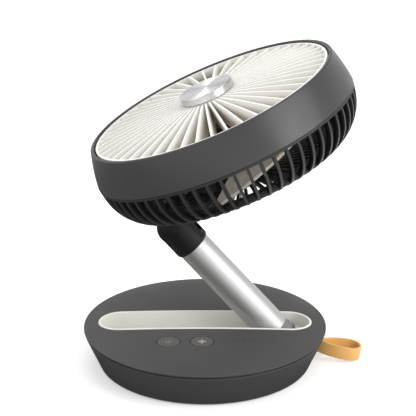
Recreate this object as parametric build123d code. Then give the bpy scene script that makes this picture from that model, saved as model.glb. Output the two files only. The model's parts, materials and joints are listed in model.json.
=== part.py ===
from build123d import *
import math
import os

# A folding portable fan. A round base holds the battery and the buttons, an arm tube folds into a
# slot in its top, and a drum-shaped head tilts on the arm's end.
# Millimetres. The origin is the centre of the face the base rests on, +Z is up, +X is the end of the
# slot where the arm pivots, and -Y is the side with the buttons. The pose is half unfolded.

# Clearances
running_gap = 0.05
fit_gap = 0.1
moving_gap = 0.4

# Base shells
base_radius = 91.0
rim_step = 0.6
foot_taper = 12.0
shell_bottom = 0.4
seam_height = 26.1
groove_height = 2.0
shell_wall = 2.6
floor_thickness = 3.2
foot_edge = 3.0
rim_edge = 0.8
rabbet_depth = 2.1
spigot_inset = 2.4
spigot_wall = 2.0
cover_band = 0.5
cover_rise = 4.0
crown_inset = 21.0
crown_drop = 1.2
cover_skin = 2.4

# Foot pad
pad_inset = 7.0
pad_thickness = 2.0
pad_edge = 0.8

# Slot and its liner
slot_margin = 10.8
slot_width = 33.8
liner_wall = 1.8
liner_floor = 1.2
lip_height = 0.6
lip_round = 0.5
heel_gap = 4.0

# Arm
arm_angle = 48.3
pivot_inset = 23.1
arm_clearance = 1.7
arm_reach = 118.9
tube_radius = 12.5
tube_wall = 1.5
tube_start = 8.5
tube_end_round = 0.6
collar_length = 20.3
collar_swell = 1.3
collar_lead_in = 3.4
collar_spigot_length = 14.0
foot_barrel_inset = 2.0
foot_barrel_width = 23.0
foot_spigot_length = 15.0
lead_radius = 1.8

# Arm pivot
pivot_pin_radius = 3.0
pivot_head_radius = 5.0
pivot_head_height = 2.0
pivot_nut_width = 10.0
pivot_nut_height = 4.0
pivot_washer_radius = 6.2
bracket_thickness = 2.0
bracket_width = 24.0
bracket_flange = 11.0
bracket_gap = 1.5

# Head tilt hinge
tilt_pin_radius = 2.5
tilt_pin_length = 19.0
tilt_cap_radius = 3.4
tilt_washer_radius = 8.0
tilt_washer_thickness = 0.5
tongue_width = 8.4

# Head
head_tilt = 23.1
rotor_clearance = 5.8
rim_width = 2.5
rim_round = 1.0
shroud_overhang = 0.3
shroud_taper = 6.0
shroud_bulge = 0.7
shroud_depth = 26.5
shroud_wall = 2.6
grille_ledge_width = 4.6
grille_ledge_thickness = 2.0
head_seam = 0.4

# Front grille
fin_count = 49
fin_thickness = 1.5
fin_swirl = 7.0
fin_phase = -1.2
fin_depth = 11.0
grille_gap = 1.2
grille_recess = 1.0
grille_ring_height = 7.8
grille_ring_width = 1.8
grille_crown = 3.6
hub_radius = 20.3
hub_height = 5.0
hub_gap = 0.6
hub_neck_radius = 15.0
hub_edge = 0.8
hub_spigot_radius = 8.0
hub_spigot_length = 6.0

# Rear grille
rib_count = 62
rib_thickness = 2.0
rib_depth = 4.0
rib_inset = 0.3
basket_radius = 99.6
basket_rim_width = 13.0
basket_rim_height = 1.8
basket_shoulder = 28.6
back_rim_lip = 6.0
back_rim_turn = 12.0
back_rim_recess = 0.4
back_plate_radius = 38.0
back_plate_margin = 0.2
spine_width = 30.0

# Neck bracket
neck_rise = 19.2
neck_waist = 7.4
flange_start = -2.0
flange_length = 26.0
flange_width = 24.0
flange_clearance = 1.2
neck_screw_inset = 6.0

# Motor
mount_radius = 22.0
mount_thickness = 2.5
bearing_tube_radius = 6.0
bearing_radius = 4.0
bearing_width = 4.0
shaft_radius = 2.0
stator_radius = 14.0
stator_gap = 4.0
stator_height = 12.0
stator_slots = 9
stator_slot_width = 2.6
stator_slot_depth = 5.0
motor_board_radius = 20.0
motor_board_thickness = 1.5
magnet_thickness = 1.5
magnet_gap = 0.4
can_wall = 1.2
can_skirt = 1.5
motor_screw_circle = 14.5

# Impeller
blade_count = 3
blade_tip_clearance = 4.8
blade_tip_corner = 6.0
blade_half_angle = 33.0
blade_thickness = 2.0
blade_phase = -70.3
blade_drop = 4.6
blade_root_pitch = 40.0
blade_tip_pitch = 14.5
blade_root_chord = 28.0
blade_tip_chord = 118.0
blade_hub_radius = 24.0
blade_hub_wall = 2.4
blade_hub_height = 25.0
blade_hub_boss_radius = 7.0
blade_hub_boss_height = 6.0
blade_nut_width = 7.0
blade_nut_height = 4.5

# Buttons and electronics
button_radius = 8.3
button_gap = 0.6
button_flange_radius = 9.6
button_flange_height = 1.4
button_stem_radius = 2.0
button_stem_length = 2.0
button_travel = 0.6
button_inset = 22.1
power_button_x = -26.7
speed_button_x = -2.1
switch_width = 6.0
switch_height = 2.6
light_pipe_radius = 0.7
light_first_x = 13.9
light_pitch = 7.35
light_count = 4
light_offset = 2.6
led_size = 1.6
led_height = 0.8
board_length = 88.0
board_width = 28.0
board_thickness = 1.6
board_x = -2.0
board_offset = 1.0
board_post_radius = 3.0
board_post_inset = 4.0

# Battery
cell_radius = 9.2
cell_length = 65.0
cell_pitch = 20.0
tray_gap = 2.8
cell_count = 2
tray_floor = 1.2
tray_wall = 1.6
tray_height = 12.0

# Charging socket
socket_width = 9.0
socket_height = 3.2
socket_length = 9.5
socket_wall = 0.5
socket_inset = 2.1
charge_board_width = 18.0
charge_board_length = 13.0
charge_board_thickness = 1.4
charge_board_height = 10.6
charge_post_radius = 2.4
charge_post_inset = 3.2

# Screws
screw_radius = 1.5
screw_head_radius = 2.8
screw_head_height = 1.2
screw_socket_width = 2.0
screw_socket_depth = 0.7
boss_radius = 4.0
boss_inset = 8.0
boss_angle = 39.0
base_screw_length = 10.0
board_screw_length = 6.0
neck_screw_length = 7.0
motor_screw_length = 4.5
head_boss_radius = 3.4
head_boss_inset = 9.1
head_boss_count = 4
head_screw_length = 11.0

# Strap
strap_width = 10.0
strap_thickness = 1.8
strap_height = 11.6
strap_droop = 9.0
strap_reach = 32.0
strap_loop_radius = 9.4
strap_tail = 11.0
strap_slot_gap = 0.3
clamp_wall = 2.0
clamp_length = 3.5

# Levels and places that follow from the sizes above
rim_radius = base_radius - rim_step
foot_radius = base_radius - foot_taper
spigot_radius = base_radius - spigot_inset
crown_radius = base_radius - crown_inset
pad_radius = foot_radius - pad_inset
boss_circle_radius = foot_radius - boss_inset
floor_top = shell_bottom + floor_thickness
pad_recess_top = pad_thickness
rim_height = seam_height + groove_height
ledge_height = seam_height - rabbet_depth
cover_edge_height = rim_height + cover_band
cover_height = cover_edge_height + cover_rise
slot_length = 2 * (base_radius - slot_margin)
slot_inner_half = slot_width / 2 - liner_wall
collar_radius = tube_radius + collar_swell
collar_start = arm_reach - collar_length
tongue_radius = collar_radius - moving_gap
foot_barrel_radius = tube_radius - foot_barrel_inset
pivot_x = slot_length / 2 - pivot_inset
pivot_height = floor_top + liner_floor + arm_clearance + tube_radius
heel_x = pivot_x + foot_barrel_radius + 2 * moving_gap
heel_height = strap_height + strap_width / 2 + heel_gap
hinge_offset = arm_reach - pivot_x
button_y = -(slot_width / 2 + button_inset)
light_y = button_y + light_offset
board_y = button_y + board_offset
cell_row_y = slot_width / 2 + tray_gap + tray_wall + cell_radius
slot_face = tongue_width / 2 + tilt_washer_thickness + 2 * running_gap

# Radii of the head, from the basket inwards
shroud_rear_radius = basket_radius + shroud_overhang
rim_outer_radius = shroud_rear_radius - shroud_taper
shroud_middle_radius = (rim_outer_radius + shroud_rear_radius) / 2 + shroud_bulge
rim_inner_radius = rim_outer_radius - rim_width
grille_radius = rim_inner_radius - grille_gap
grille_ledge_radius = rim_inner_radius - grille_ledge_width
blade_tip_radius = grille_ledge_radius - blade_tip_clearance
head_boss_circle = basket_radius - head_boss_inset
back_radius = basket_radius - basket_shoulder

# Levels of the head, from its front rim back to the hinge
bearing_tube_height = mount_thickness + motor_board_thickness + stator_gap + stator_height + bearing_width
back_plate_thickness = rib_depth + back_plate_margin
rotor_height = bearing_tube_height + moving_gap + can_wall + blade_hub_boss_height + blade_hub_wall + blade_nut_height
head_depth = grille_recess + fin_depth + rotor_clearance + rotor_height + back_plate_thickness
hinge_depth = head_depth + neck_rise
basket_front = -(shroud_depth + head_seam)
back_face = -head_depth
back_plate_top = back_face + back_plate_thickness
hinge_level = -hinge_depth
flange_under = hinge_level + collar_radius + flange_clearance
grille_ledge_top = -(grille_recess + grille_ring_height)

BOTTOM = (Align.CENTER, Align.CENTER, Align.MIN)


def cylinder(radius, low, high):
    """A round bar along Z between two heights."""
    return Pos(0, 0, low) * Cylinder(radius, high - low, align=BOTTOM)


def tube(outer, inner, low, high):
    """A round tube along Z between two heights."""
    return cylinder(outer, low, high) - cylinder(inner, low, high)


def crossbar(radius, low, high):
    """A round bar along Y between two places."""
    return Rot(-90, 0, 0) * cylinder(radius, low, high)


def block(x, y, z):
    """A rectangular block from its lowest and highest value along each axis."""
    size = (x[1] - x[0], y[1] - y[0], z[1] - z[0])
    return Pos(x[0], y[0], z[0]) * Box(*size, align=(Align.MIN, Align.MIN, Align.MIN))


def prism(sketch, low, high):
    """A flat outline raised between two heights."""
    return Pos(0, 0, low) * extrude(sketch, high - low)


def turned(*edges):
    """A solid of revolution about Z from an outline of radius and height."""
    return revolve(Plane.XZ * make_face(edges), Axis.Z)


def turned_outline(*points):
    """A solid of revolution about Z from the corners of its outline."""
    return turned(Polyline(*points, close=True))


def around(piece, count, start=0.0):
    """Copies of a piece, evenly spaced about Z."""
    return [Rot(0, 0, start + turn * 360 / count) * piece for turn in range(count)]


def at_points(piece, points):
    """A copy of a piece at each point."""
    return [Pos(*point) * piece for point in points]


def group(pieces):
    """Separate solids that share one node."""
    return Compound([piece.solid() for piece in pieces])


def hexagon_nut(width, bore, low, high):
    """A hexagonal nut along Z."""
    return prism(RegularPolygon(width / 2, 6, major_radius=False), low, high) - cylinder(bore, low, high)


def screw(length):
    """A socket screw with its seat at z = 0, its head above and its shank below."""
    socket = RegularPolygon(screw_socket_width / 2, 6, major_radius=False)
    body = cylinder(screw_head_radius, 0, screw_head_height) + cylinder(screw_radius, -length, 0)
    return body - prism(socket, screw_head_height - screw_socket_depth, screw_head_height)


def crown_height(radius):
    """The height of the cover's crown at a distance from its middle."""
    return cover_height - crown_drop * (radius / crown_radius) ** 2


def shell_radius(height):
    """The outside radius of the lower shell's tapered wall."""
    slope = (rim_radius - foot_radius) / (seam_height - shell_bottom)
    return foot_radius + slope * (height - shell_bottom)


def dome(lift, bottom):
    """All that lies under the cover's crowned top, raised by a lift."""
    middle = (crown_radius / 2, crown_height(crown_radius / 2) + lift)
    crown = ThreePointArc((0, cover_height + lift), middle, (crown_radius, crown_height(crown_radius) + lift))
    edge = TangentArc(crown @ 1, (base_radius, cover_edge_height + lift), tangent=crown % 1)
    walls = Polyline(edge @ 1, (base_radius, bottom), (0, bottom), crown @ 0)
    return turned(crown, edge, walls)


# The arm's frame has Z along the tube, from the pivot to the head, and Y across the base.
arm_turn = math.radians(arm_angle)
arm_frame = Plane(
    origin=(pivot_x, 0, pivot_height),
    x_dir=(math.sin(arm_turn), 0, math.cos(arm_turn)),
    z_dir=(-math.cos(arm_turn), 0, math.sin(arm_turn)),
)

# The head's frame has its origin in the middle of the front rim and Z along the fan's axis. Its hinge
# is placed so that the folded head lies over the middle of the base.
head_turn = math.radians(head_tilt)
head_out = Vector(-math.sin(head_turn), 0, math.cos(head_turn))
head_across = Vector(math.cos(head_turn), 0, math.sin(head_turn))
tilt_hinge = arm_frame.from_local_coords(Vector(0, 0, arm_reach))
head_frame = Plane(
    origin=tilt_hinge + head_across * hinge_offset + head_out * hinge_depth,
    x_dir=head_across,
    z_dir=head_out,
)

# The strap's frame starts on the shell's outside wall, with X along the strap and Z across its width.
strap_turn = math.radians(strap_droop)
strap_frame = Plane(
    origin=(shell_radius(strap_height + strap_width / 2), 0, strap_height),
    x_dir=(math.cos(strap_turn), 0, -math.sin(strap_turn)),
    z_dir=(math.sin(strap_turn), 0, math.cos(strap_turn)),
)

# Places of repeated pieces
boss_turn = math.radians(boss_angle)
boss_x = boss_circle_radius * math.cos(boss_turn)
boss_y = boss_circle_radius * math.sin(boss_turn)
boss_points = [(x, y, 0) for x in (-boss_x, boss_x) for y in (-boss_y, boss_y)]
button_xs = (power_button_x, speed_button_x)
light_xs = [light_first_x + light_pitch * index for index in range(light_count)]
board_post_x = board_length / 2 - board_post_inset
board_post_y = board_width / 2 - board_post_inset
board_posts = [
    (board_x + x, board_y + y, 0) for x in (-board_post_x, board_post_x) for y in (-board_post_y, board_post_y)
]

# Heights of the buttons and of the board below them
button_reach = math.hypot(power_button_x, button_y) + button_flange_radius
flange_top = crown_height(button_reach) - cover_skin - fit_gap
stem_bottom = flange_top - button_flange_height - button_stem_length
switch_top = stem_bottom - button_travel - fit_gap
board_top = switch_top - switch_height
board_under = board_top - board_thickness

# Places of the charging socket and its board
charge_board_top = charge_board_height + charge_board_thickness
socket_reach = shell_radius(charge_board_top + socket_height / 2) - socket_inset
socket_back = socket_reach - socket_length
charge_board_edge = socket_back + socket_length / 2
charge_posts = [
    (x, charge_board_edge - charge_board_length + charge_post_inset, 0)
    for x in (charge_post_inset - charge_board_width / 2, charge_board_width / 2 - charge_post_inset)
]

# Levels inside the head
mount_top = back_plate_top + mount_thickness
bearing_tube_top = back_plate_top + bearing_tube_height
motor_board_top = mount_top + motor_board_thickness
stator_top = bearing_tube_top - bearing_width
stator_bottom = stator_top - stator_height
can_inner_radius = stator_radius + magnet_gap + magnet_thickness + running_gap
can_radius = can_inner_radius + can_wall
can_ceiling = bearing_tube_top + moving_gap
can_top = can_ceiling + can_wall
can_bottom = stator_bottom - can_skirt
hub_top = can_top + blade_hub_boss_height + blade_hub_wall
hub_bottom = hub_top - blade_hub_height
blade_level = hub_top - blade_hub_height / 2 - blade_drop
nut_top = hub_top + blade_nut_height


def base_lower_shell():
    """The tapered tub: a rabbet takes the cover, posts carry the boards, and the floor is recessed."""
    inner_top = shell_radius(ledge_height) - shell_wall
    inner_bottom = shell_radius(floor_top) - shell_wall
    recess = pad_radius + fit_gap
    rabbet = spigot_radius + fit_gap
    shell = turned_outline(
        (0, pad_recess_top),
        (recess, pad_recess_top),
        (recess, shell_bottom),
        (foot_radius, shell_bottom),
        (rim_radius, seam_height),
        (rabbet, seam_height),
        (rabbet, ledge_height),
        (inner_top, ledge_height),
        (inner_bottom, floor_top),
        (0, floor_top),
    )
    foot_ring = shell.edges().group_by(Axis.Z)[0].sort_by(SortBy.RADIUS)[-1]
    shell = fillet(foot_ring, foot_edge)
    rim_ring = shell.edges().group_by(Axis.Z)[-1].sort_by(SortBy.RADIUS)[-1]
    shell = fillet(rim_ring, rim_edge)
    board_post = tube(board_post_radius, screw_radius, floor_top, board_under)
    charge_post = cylinder(charge_post_radius, floor_top, charge_board_height)
    shell += at_points(board_post, board_posts) + at_points(charge_post, charge_posts)
    head_pocket = cylinder(screw_head_radius + fit_gap, pad_recess_top, pad_recess_top + screw_head_height)
    screw_path = cylinder(screw_radius + fit_gap, pad_recess_top, floor_top)
    shell -= at_points(head_pocket + screw_path, boss_points)
    half_width = socket_width / 2 + fit_gap
    shell -= block(
        (-half_width, half_width),
        (socket_back, base_radius),
        (charge_board_top - fit_gap, charge_board_top + socket_height + fit_gap),
    )
    strap_half = strap_thickness + strap_slot_gap
    strap_path = block(
        (-strap_tail, strap_tail),
        (-strap_half, strap_half),
        (-strap_width / 2 - strap_slot_gap, strap_width / 2 + strap_slot_gap),
    )
    return shell - strap_frame.location * strap_path


def base_top_cover():
    """The crowned lid, with a spigot in the shell's rabbet, four bosses, and holes for what shows."""
    inner_radius = spigot_radius - spigot_wall
    cover = dome(0, rim_height) + tube(spigot_radius, inner_radius, ledge_height, rim_height)
    cover -= dome(-cover_skin, floor_top) & cylinder(inner_radius, floor_top, cover_height)
    boss_top = crown_height(boss_circle_radius + boss_radius) - cover_skin / 2
    boss = cylinder(boss_radius, floor_top, boss_top)
    boss -= cylinder(screw_radius, floor_top, floor_top + base_screw_length)
    cover += at_points(boss, boss_points)
    opening = SlotOverall(slot_length + 2 * fit_gap, slot_width + 2 * fit_gap)
    cover -= prism(opening, floor_top, cover_height + lip_height)
    button_hole = cylinder(button_radius + button_gap, ledge_height, cover_height)
    cover -= at_points(button_hole, [(x, button_y, 0) for x in button_xs])
    light_hole = cylinder(light_pipe_radius + running_gap, ledge_height, cover_height)
    return cover - at_points(light_hole, [(x, light_y, 0) for x in light_xs])


def trough_space(inset, low):
    """The slot's space inside the shell, narrowed by an inset, with a step over the strap's anchor."""
    top = cover_height + 2 * lip_height
    space = prism(SlotOverall(slot_length - 2 * inset, slot_width - 2 * inset), low, top)
    inner_low = shell_radius(low) - shell_wall - fit_gap - inset
    inner_high = shell_radius(top) - shell_wall - fit_gap - inset
    space = space & turned_outline((0, low), (inner_low, low), (inner_high, top), (0, top))
    step = block(
        (heel_x + liner_wall - inset, base_radius),
        (-slot_width, slot_width),
        (low, heel_height + inset),
    )
    return space - step


def slot_liner():
    """The trough that the arm folds into, with a rounded lip that follows the crown."""
    trough = trough_space(0, floor_top) & dome(lip_height, floor_top)
    trough -= trough_space(liner_wall, floor_top + liner_floor)
    lip_edges = trough.edges().filter_by(lambda edge: edge.center().Z > rim_height)
    trough = fillet(lip_edges, lip_round)
    pin_hole = crossbar(pivot_pin_radius + fit_gap, -slot_width, slot_width)
    return trough - Pos(pivot_x, 0, pivot_height) * pin_hole


def foot_pad():
    """The rubber disc that the base stands on."""
    pad = cylinder(pad_radius, 0, pad_thickness)
    return fillet(pad.edges().group_by(Axis.Z)[0], pad_edge)


def pivot_brackets():
    """Two angle brackets beside the liner that carry the arm's pivot pin."""
    near = slot_width / 2 + fit_gap
    half = bracket_width / 2
    bracket_top = crown_height(math.hypot(pivot_x + half, near + bracket_thickness)) - cover_skin - bracket_gap
    upright = block((-half, half), (near, near + bracket_thickness), (floor_top, bracket_top))
    flange = block((-half, half), (near, near + bracket_flange), (floor_top, floor_top + bracket_thickness))
    bracket = Pos(pivot_x, 0, 0) * (upright + flange)
    bracket -= Pos(pivot_x, 0, pivot_height) * crossbar(pivot_pin_radius + running_gap, 0, slot_width)
    return group([bracket, mirror(bracket, about=Plane.XZ)])


def pivot_pin():
    """The arm's pivot pin, with its head on the button side."""
    seat = slot_width / 2 + fit_gap + bracket_thickness + running_gap
    shank = crossbar(pivot_pin_radius, -seat, seat + pivot_nut_height)
    head = crossbar(pivot_head_radius, -seat - pivot_head_height, -seat)
    return Pos(pivot_x, 0, pivot_height) * (shank + head)


def pivot_nut():
    """The nut that clamps the pivot's brackets."""
    seat = slot_width / 2 + fit_gap + bracket_thickness + running_gap
    nut = hexagon_nut(pivot_nut_width, pivot_pin_radius + running_gap, seat, seat + pivot_nut_height)
    return Pos(pivot_x, 0, pivot_height) * Rot(-90, 0, 0) * nut


def pivot_washers():
    """Two friction washers that fill the slot beside the arm's foot."""
    low = foot_barrel_width / 2 + fit_gap
    high = slot_inner_half - running_gap
    washer = Rot(-90, 0, 0) * tube(pivot_washer_radius, pivot_pin_radius + running_gap, low, high)
    washer = Pos(pivot_x, 0, pivot_height) * washer
    return group([washer, mirror(washer, about=Plane.XZ)])


def battery_cells():
    """The rechargeable cells, side by side behind the slot, each with a raised positive end."""
    cell = cylinder(cell_radius, -cell_length / 2, cell_length / 2)
    cell += cylinder(cell_radius / 3, cell_length / 2, cell_length / 2 + tray_wall / 2)
    level = floor_top + tray_floor + cell_radius + running_gap
    rows = [cell_row_y + cell_pitch * row for row in range(cell_count)]
    return group([Pos(0, y, level) * Rot(0, 90, 0) * cell for y in rows])


def battery_tray():
    """The tray that holds the cells on the floor of the base."""
    inside = cell_length / 2 + tray_wall
    outside = inside + tray_wall
    near = cell_row_y - cell_radius - tray_wall
    far = cell_row_y + cell_pitch * (cell_count - 1) + cell_radius + tray_wall
    tray = block((-outside, outside), (near, far), (floor_top, floor_top + tray_floor))
    wall = block((inside, outside), (near, far), (floor_top, floor_top + tray_height))
    return tray + wall + mirror(wall, about=Plane.YZ)


def control_board():
    """The circuit board under the buttons, on four posts."""
    board = block(
        (board_x - board_length / 2, board_x + board_length / 2),
        (board_y - board_width / 2, board_y + board_width / 2),
        (board_under, board_top),
    )
    return board - at_points(cylinder(screw_radius + fit_gap, board_under, board_top), board_posts)


def board_screws():
    """The screws of the control board."""
    return group(at_points(screw(board_screw_length), [(x, y, board_top) for x, y, _ in board_posts]))


def button_switches():
    """A push switch below each button, with a round plunger."""
    half = switch_width / 2
    switch = block((-half, half), (-half, half), (board_top, switch_top - button_travel))
    switch += cylinder(button_stem_radius, board_top, switch_top)
    return group(at_points(switch, [(x, button_y, 0) for x in button_xs]))


def status_leds():
    """The lamps of the charge display, on the control board."""
    half = led_size / 2
    lamp = block((-half, half), (-half / 2, half / 2), (board_top, board_top + led_height))
    return group(at_points(lamp, [(x, light_y, 0) for x in light_xs]))


def light_pipes():
    """Clear rods that bring the lamps' light up to the cover's face."""
    rod = cylinder(light_pipe_radius, board_top + led_height, cover_height)
    return group([rod & dome(0, floor_top) for rod in at_points(rod, [(x, light_y, 0) for x in light_xs])])


def charge_board():
    """The small board that carries the charging socket, on two posts."""
    half = charge_board_width / 2
    reach = (charge_board_edge - charge_board_length, charge_board_edge)
    return block((-half, half), reach, (charge_board_height, charge_board_top))


def charge_socket():
    """The charging socket: a flat metal sleeve with rounded sides, open to the back of the base."""
    half_radius = socket_height / 2
    sleeve = SlotOverall(socket_width, socket_height)
    mouth = SlotOverall(socket_width - 2 * socket_wall, socket_height - 2 * socket_wall)
    tongue = Rectangle(socket_width - 4 * socket_wall - socket_height, socket_wall)
    socket = prism(sleeve, 0, socket_length) - prism(mouth, socket_wall, socket_length)
    socket += prism(tongue, 0, socket_length - socket_wall)
    return Pos(0, socket_back, charge_board_top + half_radius) * Rot(-90, 0, 0) * socket


def base_screws():
    """The screws that hold the two shells together, driven from below."""
    seat = pad_recess_top + screw_head_height
    return group([Pos(x, y, seat) * Rot(180, 0, 0) * screw(base_screw_length) for x, y, _ in boss_points])


def egg(radius, root_x, root):
    """An outline in plan: a round bow and two bowed sides that close in on the strap's root."""
    centre = strap_reach - strap_loop_radius
    bow = ThreePointArc((centre, -radius), (centre + radius, 0), (centre, radius))
    side = TangentArc((centre, radius), (root_x, root), tangent=(-1, 0))
    if root:
        end = Line((root_x, root), (root_x, -root))
        return make_face([bow, side, end, mirror(side, about=Plane.XZ)])
    return make_face([bow, side, mirror(side, about=Plane.XZ)])


def strap_loop():
    """The leather strap: an egg-shaped loop whose two ends pass together into the shell."""
    half = strap_width / 2
    centre = strap_reach - strap_loop_radius
    drop = strap_loop_radius - strap_thickness
    side_radius = (centre**2 + drop**2) / (2 * drop)
    gap_length = math.sqrt((side_radius - strap_thickness) ** 2 - (side_radius - strap_loop_radius) ** 2)
    outside = egg(strap_loop_radius, 0, strap_thickness)
    inside = egg(drop, centre - gap_length, 0)
    tail = Pos(-strap_tail / 2, 0) * Rectangle(strap_tail, 2 * strap_thickness)
    return strap_frame.location * prism(outside + tail - inside, -half, half)


def strap_clamp():
    """The clip inside the shell that grips the strap's two ends."""
    half = strap_width / 2
    low = strap_thickness + running_gap
    jaw = block((-strap_tail, -strap_tail + clamp_length), (low, low + clamp_wall), (-half, half))
    back = block(
        (-strap_tail - clamp_wall, -strap_tail - running_gap),
        (-low - clamp_wall, low + clamp_wall),
        (-half, half),
    )
    bridge = block((-strap_tail - clamp_wall, -strap_tail), (low, low + clamp_wall), (-half, half))
    side = jaw + bridge
    return strap_frame.location * (back + side + mirror(side, about=Plane.XZ))


def arm_foot():
    """The knuckle on the pivot pin, with a plug inside the tube."""
    half = foot_barrel_width / 2
    barrel = crossbar(foot_barrel_radius, -half, half)
    reach = 2 * foot_barrel_radius
    barrel -= block((-reach, reach), (-reach, reach), (tube_start - running_gap, reach))
    plug = cylinder(tube_radius - tube_wall - running_gap, 0, tube_start + foot_spigot_length)
    foot = barrel + plug - crossbar(pivot_pin_radius + running_gap, -reach, reach)
    foot -= cylinder(lead_radius + running_gap, tube_start, tube_start + foot_spigot_length)
    return arm_frame.location * foot


def arm_tube():
    """The aluminium tube between the knuckle and the collar."""
    pipe = tube(tube_radius, tube_radius - tube_wall, tube_start, collar_start)
    low_edge = pipe.edges().filter_by(GeomType.CIRCLE).group_by(Axis.Z)[0].sort_by(SortBy.RADIUS)[-1]
    return arm_frame.location * fillet(low_edge, tube_end_round)


def arm_collar():
    """The rounded cap on the tube's end: a fork for the head's tongue, and a plug inside the tube."""
    swell = (collar_radius + tube_radius) / 2 + (collar_radius - tube_radius) / 4
    lead_in = ThreePointArc(
        (tube_radius, collar_start),
        (swell, collar_start + collar_lead_in / 3),
        (collar_radius, collar_start + collar_lead_in),
    )
    side = Line(lead_in @ 1, (collar_radius, arm_reach))
    crest = CenterArc((0, arm_reach), collar_radius, 0, 90)
    closing = Polyline(crest @ 1, (0, collar_start), lead_in @ 0)
    collar = turned(lead_in, side, crest, closing)
    plug_radius = tube_radius - tube_wall - running_gap
    collar += cylinder(plug_radius, collar_start - collar_spigot_length, collar_start + collar_lead_in)
    slot_bottom = arm_reach - tongue_radius - moving_gap
    reach = 2 * collar_radius
    collar -= block((-reach, reach), (-slot_face, slot_face), (slot_bottom, arm_reach + reach))
    collar -= cylinder(lead_radius + running_gap, 0, slot_bottom)
    pin_half = tilt_pin_length / 2
    pin_bore = crossbar(tilt_pin_radius + running_gap, -pin_half, pin_half)
    cap_bore = crossbar(tilt_cap_radius, pin_half, reach)
    bores = pin_bore + cap_bore + mirror(cap_bore, about=Plane.XZ)
    return arm_frame.location * (collar - Pos(0, 0, arm_reach) * bores)


def arm_lead():
    """The cable inside the tube, held in the bores of its two plugs."""
    return arm_frame.location * cylinder(lead_radius, tube_start, arm_reach - tongue_radius - 2 * moving_gap)


def tilt_pin_caps():
    """Two flush plugs that hide the ends of the tilt pin."""
    cap = crossbar(tilt_cap_radius - running_gap, tilt_pin_length / 2 + running_gap, collar_radius)
    cap = arm_frame.location * Pos(0, 0, arm_reach) * (cap & Sphere(collar_radius))
    return group([cap, mirror(cap, about=Plane.XZ)])


def tilt_pin():
    """The pin that the head tilts on."""
    half = tilt_pin_length / 2
    return arm_frame.location * Pos(0, 0, arm_reach) * crossbar(tilt_pin_radius, -half, half)


def tilt_washers():
    """Two friction washers between the collar's fork and the head's tongue."""
    low = tongue_width / 2 + running_gap
    high = low + tilt_washer_thickness
    washer = Rot(-90, 0, 0) * tube(tilt_washer_radius, tilt_pin_radius + running_gap / 2, low, high)
    washer = arm_frame.location * Pos(0, 0, arm_reach) * washer
    return group([washer, mirror(washer, about=Plane.XZ)])


def neck_bracket():
    """The tongue on the tilt pin and the flange that is screwed to the head's back."""
    rise = back_face - hinge_level
    half = tongue_width / 2
    flange_end = flange_start + flange_length
    lean = math.radians(head_tilt)
    web = Polygon(
        (-tongue_radius * math.cos(lean), tongue_radius * math.sin(lean)),
        (-neck_waist, rise),
        (tongue_radius * math.cos(lean), rise),
        (tongue_radius * math.cos(lean), tongue_radius * math.sin(lean)),
        align=None,
    )
    tongue = extrude(Plane.XZ * (Circle(tongue_radius) + web), half, both=True)
    tongue -= crossbar(tilt_pin_radius + running_gap, -half, half)
    plate = block(
        (flange_start, flange_end),
        (-flange_width / 2, flange_width / 2),
        (flange_under - hinge_level, rise),
    )
    neck = tongue + plate
    neck -= at_points(cylinder(screw_radius, flange_under - hinge_level + running_gap, rise), neck_screw_places())
    return head_frame.location * Pos(-hinge_offset, 0, hinge_level) * neck


def neck_screw_places():
    """Where the neck's screws are, from the tilt hinge."""
    lows = flange_start + neck_screw_inset
    highs = flange_start + flange_length - neck_screw_inset
    side = flange_width / 2 - neck_screw_inset / 2
    return [(x, y, 0) for x in (lows, highs) for y in (-side, side)]


def neck_screws():
    """The screws that hold the neck to the rear grille, driven from inside the head."""
    places = [(x - hinge_offset, y, back_plate_top) for x, y, _ in neck_screw_places()]
    return head_frame.location * group(at_points(screw(neck_screw_length), places))


def front_shroud():
    """The flared ring of the head, with a ledge for the front grille and bosses for the rear one."""
    ledge_bottom = grille_ledge_top - grille_ledge_thickness
    middle = -shroud_depth / 2
    flare = ThreePointArc(
        (rim_outer_radius, 0), (shroud_middle_radius, middle), (shroud_rear_radius, -shroud_depth)
    )
    inside = Polyline(
        flare @ 1,
        (shroud_rear_radius - shroud_wall, -shroud_depth),
        (shroud_middle_radius - shroud_wall, middle),
        (grille_ledge_radius, ledge_bottom),
        (grille_ledge_radius, grille_ledge_top),
        (rim_inner_radius, grille_ledge_top),
        (rim_inner_radius, 0),
        flare @ 0,
    )
    shroud = turned(flare, inside)
    shroud = fillet(shroud.edges().group_by(Axis.Z)[-1], rim_round)
    boss = cylinder(head_boss_radius, basket_front, ledge_bottom + grille_ledge_thickness / 2)
    boss -= cylinder(screw_radius, basket_front, basket_front + head_screw_length)
    bosses = around(Pos(head_boss_circle, 0, 0) * boss, head_boss_count, 180 / head_boss_count)
    return head_frame.location * (shroud + bosses)


def fin_outline():
    """One swirled fin in plan: a straight strip from the hub to the ring, aslant to the radius."""
    inner = hub_radius - hub_edge - fin_thickness
    outer = grille_radius - grille_ring_width / 2
    swing = math.radians(fin_swirl)
    spine = Line((inner * math.cos(swing), -inner * math.sin(swing)), (outer, 0))
    return Pos(*spine.position_at(0.5)) * Rot(0, 0, spine.tangent_angle_at(0)) * Rectangle(spine.length, fin_thickness)


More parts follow.
